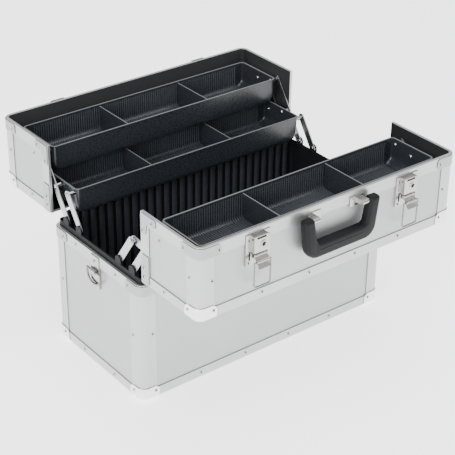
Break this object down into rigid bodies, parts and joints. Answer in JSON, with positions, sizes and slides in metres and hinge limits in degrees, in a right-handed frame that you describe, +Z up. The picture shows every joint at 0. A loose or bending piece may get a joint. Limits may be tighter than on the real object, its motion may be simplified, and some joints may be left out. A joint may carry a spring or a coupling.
{
  "type": "makeup train case",
  "caption": "Hard travel case for makeup, shown open: metal shell with black lining, cantilever trays on pivoting arms, draw latches and a hinged handle.",
  "frame": {"origin": "centre of the base's underside, with the case open and level", "axes": "+Z up, +X along the length to the right end, -Y to the front, where the handle and the latches are"},
  "size_m": [0.4742, 0.5146, 0.3235],
  "materials": {
    "aluminium_sheet": "satin",
    "aluminium_profile": "satin",
    "nickel_fittings": "polished",
    "arm_steel": "brushed",
    "black_liner": "matte",
    "tray_plastic": "gloss",
    "handle_plastic": "matte",
    "underside_board": "matte"
  },
  "bodies": {
    "base": {"base_front_panel": "aluminium_sheet", "base_rear_panel": "aluminium_sheet", "base_left_panel": "aluminium_sheet", "base_right_panel": "aluminium_sheet", "base_floor_panel": "underside_board", "base_frame": "aluminium_profile", "base_liner": "black_liner", "left_ring_plate": "nickel_fittings", "right_ring_plate": "nickel_fittings", "base_front_hinge_leaf": "nickel_fittings", "base_rear_hinge_leaf": "nickel_fittings"},
    "left_strap_ring": {"left_strap_ring": "nickel_fittings"},
    "right_strap_ring": {"right_strap_ring": "nickel_fittings"},
    "front_half": {"front_half_face_panel": "aluminium_sheet", "front_half_hinge_side_panel": "aluminium_sheet", "front_half_left_panel": "aluminium_sheet", "front_half_right_panel": "aluminium_sheet", "front_half_frame": "aluminium_profile", "front_half_hinge_leaf": "nickel_fittings", "left_latch_plate": "nickel_fittings", "right_latch_plate": "nickel_fittings", "left_handle_bracket": "nickel_fittings", "right_handle_bracket": "nickel_fittings"},
    "carry_handle": {"carry_handle": "handle_plastic"},
    "left_latch_lever": {"left_latch_lever": "nickel_fittings"},
    "right_latch_lever": {"right_latch_lever": "nickel_fittings"},
    "left_latch_bail": {"left_latch_bail": "nickel_fittings"},
    "right_latch_bail": {"right_latch_bail": "nickel_fittings"},
    "front_long_arms": {"front_long_arm_left": "arm_steel", "front_long_arm_right": "arm_steel"},
    "front_short_arms": {"front_short_arm_left": "arm_steel", "front_short_arm_right": "arm_steel"},
    "front_couplers": {"front_coupler_left": "arm_steel", "front_coupler_right": "arm_steel"},
    "front_upper_links": {"front_upper_link_left": "arm_steel", "front_upper_link_right": "arm_steel"},
    "front_tray": {"front_tray": "tray_plastic", "front_tray_left_divider": "tray_plastic", "front_tray_right_divider": "tray_plastic"},
    "rear_half": {"rear_half_face_panel": "aluminium_sheet", "rear_half_hinge_side_panel": "aluminium_sheet", "rear_half_left_panel": "aluminium_sheet", "rear_half_right_panel": "aluminium_sheet", "rear_half_frame": "aluminium_profile", "rear_half_hinge_leaf": "nickel_fittings", "left_catch": "nickel_fittings", "right_catch": "nickel_fittings"},
    "rear_long_arms": {"rear_long_arm_left": "arm_steel", "rear_long_arm_right": "arm_steel"},
    "rear_short_arms": {"rear_short_arm_left": "arm_steel", "rear_short_arm_right": "arm_steel"},
    "middle_tray": {"middle_tray": "tray_plastic", "middle_tray_left_divider": "tray_plastic", "middle_tray_right_divider": "tray_plastic"},
    "rear_upper_links": {"rear_upper_link_left": "arm_steel", "rear_upper_link_right": "arm_steel"},
    "top_tray": {"top_tray": "tray_plastic", "top_tray_left_divider": "tray_plastic", "top_tray_right_divider": "tray_plastic"}
  },
  "joints": [
    {"name": "front_half_hinge", "type": "hinge", "parent": "base", "child": "front_half", "pos_m": [0, -0.12, 0.1995], "axis": [1, 0, 0], "range_deg": [-90, 0]},
    {"name": "front_long_arm_pivot", "type": "hinge", "parent": "base", "child": "front_long_arms", "pos_m": [0, -0.085, 0.208], "axis": [1, 0, 0], "range_deg": [-69, 0]},
    {"name": "front_short_arm_pivot", "type": "hinge", "parent": "base", "child": "front_short_arms", "pos_m": [0, -0.051, 0.208], "axis": [1, 0, 0], "range_deg": [-69, 0]},
    {"name": "front_coupler_pivot", "type": "hinge", "parent": "front_long_arms", "child": "front_couplers", "pos_m": [0, -0.1155, 0.2525], "axis": [1, 0, 0], "range_deg": [0, 69]},
    {"name": "front_upper_link_pivot", "type": "hinge", "parent": "front_couplers", "child": "front_upper_links", "pos_m": [0, -0.1485, 0.246], "axis": [1, 0, 0], "range_deg": [-69, 0]},
    {"name": "front_tray_pivot", "type": "hinge", "parent": "front_long_arms", "child": "front_tray", "pos_m": [0, -0.146, 0.297], "axis": [1, 0, 0], "range_deg": [0, 69]},
    {"name": "rear_half_hinge", "type": "hinge", "parent": "base", "child": "rear_half", "pos_m": [0, 0.12, 0.1995], "axis": [1, 0, 0], "range_deg": [0, 90]},
    {"name": "rear_long_arm_pivot", "type": "hinge", "parent": "base", "child": "rear_long_arms", "pos_m": [0, 0.085, 0.208], "axis": [1, 0, 0], "range_deg": [0, 69]},
    {"name": "rear_short_arm_pivot", "type": "hinge", "parent": "base", "child": "rear_short_arms", "pos_m": [0, 0.051, 0.208], "axis": [1, 0, 0], "range_deg": [0, 69]},
    {"name": "middle_tray_pivot", "type": "hinge", "parent": "rear_long_arms", "child": "middle_tray", "pos_m": [0, 0.1155, 0.2525], "axis": [1, 0, 0], "range_deg": [-69, 0]},
    {"name": "rear_upper_link_pivot", "type": "hinge", "parent": "middle_tray", "child": "rear_upper_links", "pos_m": [0, 0.1485, 0.246], "axis": [1, 0, 0], "range_deg": [0, 69]},
    {"name": "top_tray_pivot", "type": "hinge", "parent": "rear_long_arms", "child": "top_tray", "pos_m": [0, 0.146, 0.297], "axis": [1, 0, 0], "range_deg": [-69, 0]},
    {"name": "carry_handle_pivot", "type": "hinge", "parent": "front_half", "child": "carry_handle", "pos_m": [0, -0.2568, 0.3035], "axis": [1, 0, 0], "range_deg": [-90, 0]},
    {"name": "left_latch_lever_pivot", "type": "hinge", "parent": "front_half", "child": "left_latch_lever", "pos_m": [-0.134, -0.2513, 0.282], "axis": [1, 0, 0], "range_deg": [-80, 0]},
    {"name": "left_latch_bail_pivot", "type": "hinge", "parent": "left_latch_lever", "child": "left_latch_bail", "pos_m": [-0.134, -0.25687, 0.27468], "axis": [1, 0, 0], "range_deg": [-90, 0]},
    {"name": "right_latch_lever_pivot", "type": "hinge", "parent": "front_half", "child": "right_latch_lever", "pos_m": [0.134, -0.2513, 0.282], "axis": [1, 0, 0], "range_deg": [-80, 0]},
    {"name": "right_latch_bail_pivot", "type": "hinge", "parent": "right_latch_lever", "child": "right_latch_bail", "pos_m": [0.134, -0.25687, 0.27468], "axis": [1, 0, 0], "range_deg": [-90, 0]},
    {"name": "left_strap_ring_pivot", "type": "hinge", "parent": "base", "child": "left_strap_ring", "pos_m": [-0.2337, 0, 0.168], "axis": [0, 1, 0], "range_deg": [0, 150]},
    {"name": "right_strap_ring_pivot", "type": "hinge", "parent": "base", "child": "right_strap_ring", "pos_m": [0.2337, 0, 0.168], "axis": [0, -1, 0], "range_deg": [0, 150]}
  ],
  "couplings": [
    {"joint": "front_long_arm_pivot", "follows": "front_half_hinge", "ratio": 0.76502},
    {"joint": "front_short_arm_pivot", "follows": "front_half_hinge", "ratio": 0.76502},
    {"joint": "front_upper_link_pivot", "follows": "front_half_hinge", "ratio": 0.76502},
    {"joint": "front_coupler_pivot", "follows": "front_half_hinge", "ratio": -0.76502},
    {"joint": "front_tray_pivot", "follows": "front_half_hinge", "ratio": -0.76502},
    {"joint": "rear_long_arm_pivot", "follows": "rear_half_hinge", "ratio": 0.76502},
    {"joint": "rear_short_arm_pivot", "follows": "rear_half_hinge", "ratio": 0.76502},
    {"joint": "rear_upper_link_pivot", "follows": "rear_half_hinge", "ratio": 0.76502},
    {"joint": "middle_tray_pivot", "follows": "rear_half_hinge", "ratio": -0.76502},
    {"joint": "top_tray_pivot", "follows": "rear_half_hinge", "ratio": -0.76502}
  ]
}
